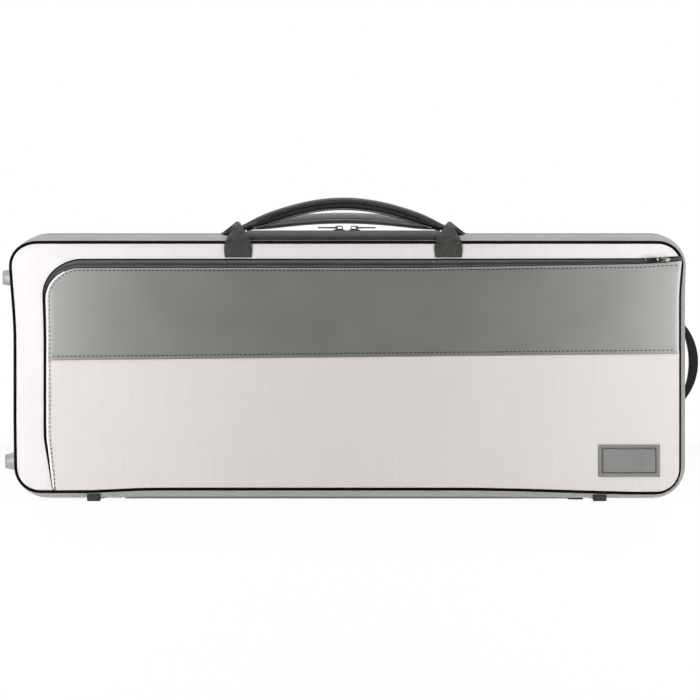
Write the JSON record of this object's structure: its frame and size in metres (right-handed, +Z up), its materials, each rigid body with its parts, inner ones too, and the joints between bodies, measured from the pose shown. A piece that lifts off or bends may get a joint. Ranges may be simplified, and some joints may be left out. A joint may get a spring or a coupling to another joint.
{
  "type": "viola case",
  "caption": "Oblong zipped viola case with a hinged lid, a large front pocket, rolled handles, an end handle and a fitted nest with trays inside.",
  "frame": {"origin": "on the floor, at the middle of the case's box, the case standing on its hinge side with its handles up", "axes": "+X along the case towards the scroll end with the padded end handle, +Y from the lid's face to the back, +Z up towards the handles"},
  "size_m": [0.8198, 0.165, 0.3575],
  "materials": {
    "side_leather": "smooth grey artificial leather",
    "face_cloth": "woven silver-grey cloth",
    "piping": "black piping",
    "zip_tape": "dark grey zip tape",
    "dark_leather": "black-brown rolled leather",
    "grey_leather": "glossy greenish grey leather",
    "foot_rubber": "black rubber",
    "foot_plastic": "silver-grey moulded plastic",
    "zip_metal": "nickel-plated metal",
    "webbing": "black padded webbing",
    "lining_cloth": "grey short-pile lining",
    "nest_velvet": "dark grey velvet over foam",
    "clip_plastic": "black moulded plastic"
  },
  "bodies": {
    "base": {"base_shell": "side_leather", "base_back_panel": "face_cloth", "rear_piping": "piping", "base_zip_tape": "zip_tape", "base_hinge_leaf": "grey_leather", "base_stand_feet": "foot_rubber", "base_end_feet": "foot_plastic", "base_top_patch": "dark_leather", "base_lining": "lining_cloth", "dust_valance": "lining_cloth", "rear_tab_left": "dark_leather", "rear_tab_right": "dark_leather", "zip_stop_tab": "dark_leather", "end_handle": "webbing", "lower_bout_cushion": "nest_velvet", "upper_bout_cushion": "nest_velvet", "neck_cushion": "nest_velvet", "nest_upper": "nest_velvet", "nest_lower": "nest_velvet", "tray_upper": "nest_velvet", "tray_lower": "nest_velvet", "ring_tabs": "dark_leather"},
    "lid": {"lid_shell": "side_leather", "lid_face_panel": "face_cloth", "front_piping": "piping", "lid_zip_tape": "zip_tape", "lid_hinge_leaf": "grey_leather", "lid_stand_feet": "foot_rubber", "lid_end_feet": "foot_plastic", "lid_top_patch": "dark_leather", "front_tab_left": "dark_leather", "front_tab_right": "dark_leather", "pocket_zip_tape": "zip_tape", "pocket_leather_band": "grey_leather", "pocket_cloth_panel": "face_cloth", "badge_patch": "grey_leather", "lid_lining": "lining_cloth", "bow_mounts": "clip_plastic", "bow_tip_sleeves": "lining_cloth"},
    "front_handle": {"front_handle": "dark_leather"},
    "rear_handle": {"rear_handle": "grey_leather"},
    "pocket_slider": {"pocket_slider": "zip_metal"},
    "pocket_puller": {"pocket_puller": "zip_metal"},
    "bow_turn_upper": {"bow_turn_upper": "clip_plastic"},
    "bow_turn_lower": {"bow_turn_lower": "clip_plastic"},
    "zip_slider_left": {"zip_slider_left": "zip_metal"},
    "zip_slider_right": {"zip_slider_right": "zip_metal"},
    "zip_puller_left": {"zip_puller_left": "zip_metal"},
    "zip_puller_right": {"zip_puller_right": "zip_metal"},
    "tray_lid_upper": {"tray_lid_upper": "lining_cloth"},
    "tray_lid_lower": {"tray_lid_lower": "lining_cloth"},
    "neck_strap_upper": {"neck_strap_upper": "dark_leather"},
    "neck_strap_lower": {"neck_strap_lower": "dark_leather"},
    "carrying_ring_1": {"carrying_ring_1": "zip_metal"},
    "carrying_ring_2": {"carrying_ring_2": "zip_metal"},
    "carrying_ring_3": {"carrying_ring_3": "zip_metal"},
    "carrying_ring_4": {"carrying_ring_4": "zip_metal"}
  },
  "joints": [
    {"name": "lid_hinge", "type": "hinge", "parent": "base", "child": "lid", "pos_m": [-0.00792, -0.015, 0.0017], "axis": [1, 0, 0], "range_deg": [0, 100]},
    {"name": "front_handle_swing", "type": "hinge", "parent": "lid", "child": "front_handle", "pos_m": [-0.01192, -0.06, 0.31964], "axis": [1, 0, 0], "range_deg": [-60, 100]},
    {"name": "rear_handle_swing", "type": "hinge", "parent": "base", "child": "rear_handle", "pos_m": [-0.01192, 0.022, 0.32371], "axis": [1, 0, 0], "range_deg": [-14, 68]},
    {"name": "zip_left_slide", "type": "slide", "parent": "base", "child": "zip_slider_left", "axis": [-1, 0, 0], "range_m": [0, 0.321]},
    {"name": "zip_right_slide", "type": "slide", "parent": "base", "child": "zip_slider_right", "axis": [1, 0, 0], "range_m": [0, 0.321]},
    {"name": "zip_left_pull", "type": "hinge", "parent": "zip_slider_left", "child": "zip_puller_left", "pos_m": [-0.01912, -0.015, 0.3222], "axis": [0, 1, 0], "range_deg": [0, 100]},
    {"name": "zip_right_pull", "type": "hinge", "parent": "zip_slider_right", "child": "zip_puller_right", "pos_m": [0.00328, -0.015, 0.3222], "axis": [0, -1, 0], "range_deg": [0, 100]},
    {"name": "pocket_slide", "type": "slide", "parent": "lid", "child": "pocket_slider", "axis": [-1, 0, 0], "range_m": [0, 0.66]},
    {"name": "pocket_pull", "type": "hinge", "parent": "pocket_slider", "child": "pocket_puller", "pos_m": [0.36288, -0.0816, 0.27925], "axis": [0, 0, 1], "range_deg": [0, 130]},
    {"name": "neck_strap_upper_fold", "type": "hinge", "parent": "base", "child": "neck_strap_upper", "pos_m": [-0.00792, -0.0033, 0.2021], "axis": [-1, 0, 0], "range_deg": [0, 110]},
    {"name": "tray_lid_upper_hinge", "type": "hinge", "parent": "base", "child": "tray_lid_upper", "pos_m": [0.32263, -0.0038, 0.1591], "axis": [0, 0, -1], "range_deg": [0, 95]},
    {"name": "bow_turn_upper_spin", "type": "hinge", "parent": "lid", "child": "bow_turn_upper", "pos_m": [-0.30792, -0.06325, 0.1841], "axis": [0, 1, 0], "range_deg": [0, 90]},
    {"name": "neck_strap_lower_fold", "type": "hinge", "parent": "base", "child": "neck_strap_lower", "pos_m": [-0.00792, -0.0033, 0.1161], "axis": [1, 0, 0], "range_deg": [0, 110]},
    {"name": "tray_lid_lower_hinge", "type": "hinge", "parent": "base", "child": "tray_lid_lower", "pos_m": [0.32263, -0.0038, 0.1591], "axis": [0, 0, -1], "range_deg": [0, 95]},
    {"name": "bow_turn_lower_spin", "type": "hinge", "parent": "lid", "child": "bow_turn_lower", "pos_m": [-0.30792, -0.06325, 0.1341], "axis": [0, 1, 0], "range_deg": [0, 90]},
    {"name": "carrying_ring_1_swing", "type": "hinge", "parent": "base", "child": "carrying_ring_1", "pos_m": [-0.30792, 0.0777, 0.2541], "axis": [1, 0, 0], "range_deg": [0, 160]},
    {"name": "carrying_ring_2_swing", "type": "hinge", "parent": "base", "child": "carrying_ring_2", "pos_m": [0.29208, 0.0777, 0.2541], "axis": [1, 0, 0], "range_deg": [0, 160]},
    {"name": "carrying_ring_3_swing", "type": "hinge", "parent": "base", "child": "carrying_ring_3", "pos_m": [-0.30792, 0.0777, 0.0641], "axis": [1, 0, 0], "range_deg": [0, 160]},
    {"name": "carrying_ring_4_swing", "type": "hinge", "parent": "base", "child": "carrying_ring_4", "pos_m": [0.29208, 0.0777, 0.0641], "axis": [1, 0, 0], "range_deg": [0, 160]}
  ]
}
